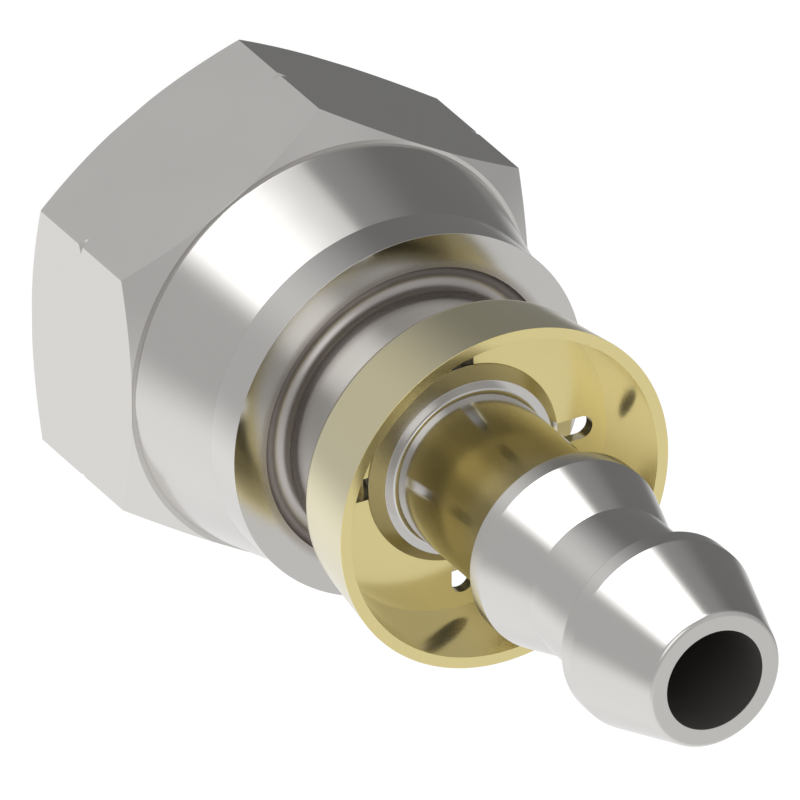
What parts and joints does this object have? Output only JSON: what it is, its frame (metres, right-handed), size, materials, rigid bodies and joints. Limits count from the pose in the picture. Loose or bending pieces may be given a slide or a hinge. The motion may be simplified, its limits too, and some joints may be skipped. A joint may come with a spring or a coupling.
{
  "type": "hose nipple",
  "caption": "Barbed hose nipple: a hexagon union nut turns on a turned stem, and a slotted cup behind the barbs covers the hose's cut end.",
  "frame": {"origin": "on the common axis, at the open end face of the union nut, which the part stands on", "axes": "+Z along the axis from the nut to the hose end; two corners of the hexagon point along +Y and -Y, and two flats face +X and -X"},
  "size_m": [0.019, 0.022, 0.0402],
  "materials": {
    "nut_steel": "fine turned and milled, bright",
    "stem_steel": "fine turned, bright",
    "cup_brass": "bright pressed sheet"
  },
  "bodies": {
    "stem": {"hose_stem": "stem_steel", "hose_cup": "cup_brass"},
    "nut": {"swivel_nut": "nut_steel"}
  },
  "joints": [
    {"name": "nut_swivel", "type": "hinge", "parent": "stem", "child": "nut", "pos_m": [0, 0, 0.0125], "axis": [0, 0, 1], "continuous": true}
  ]
}
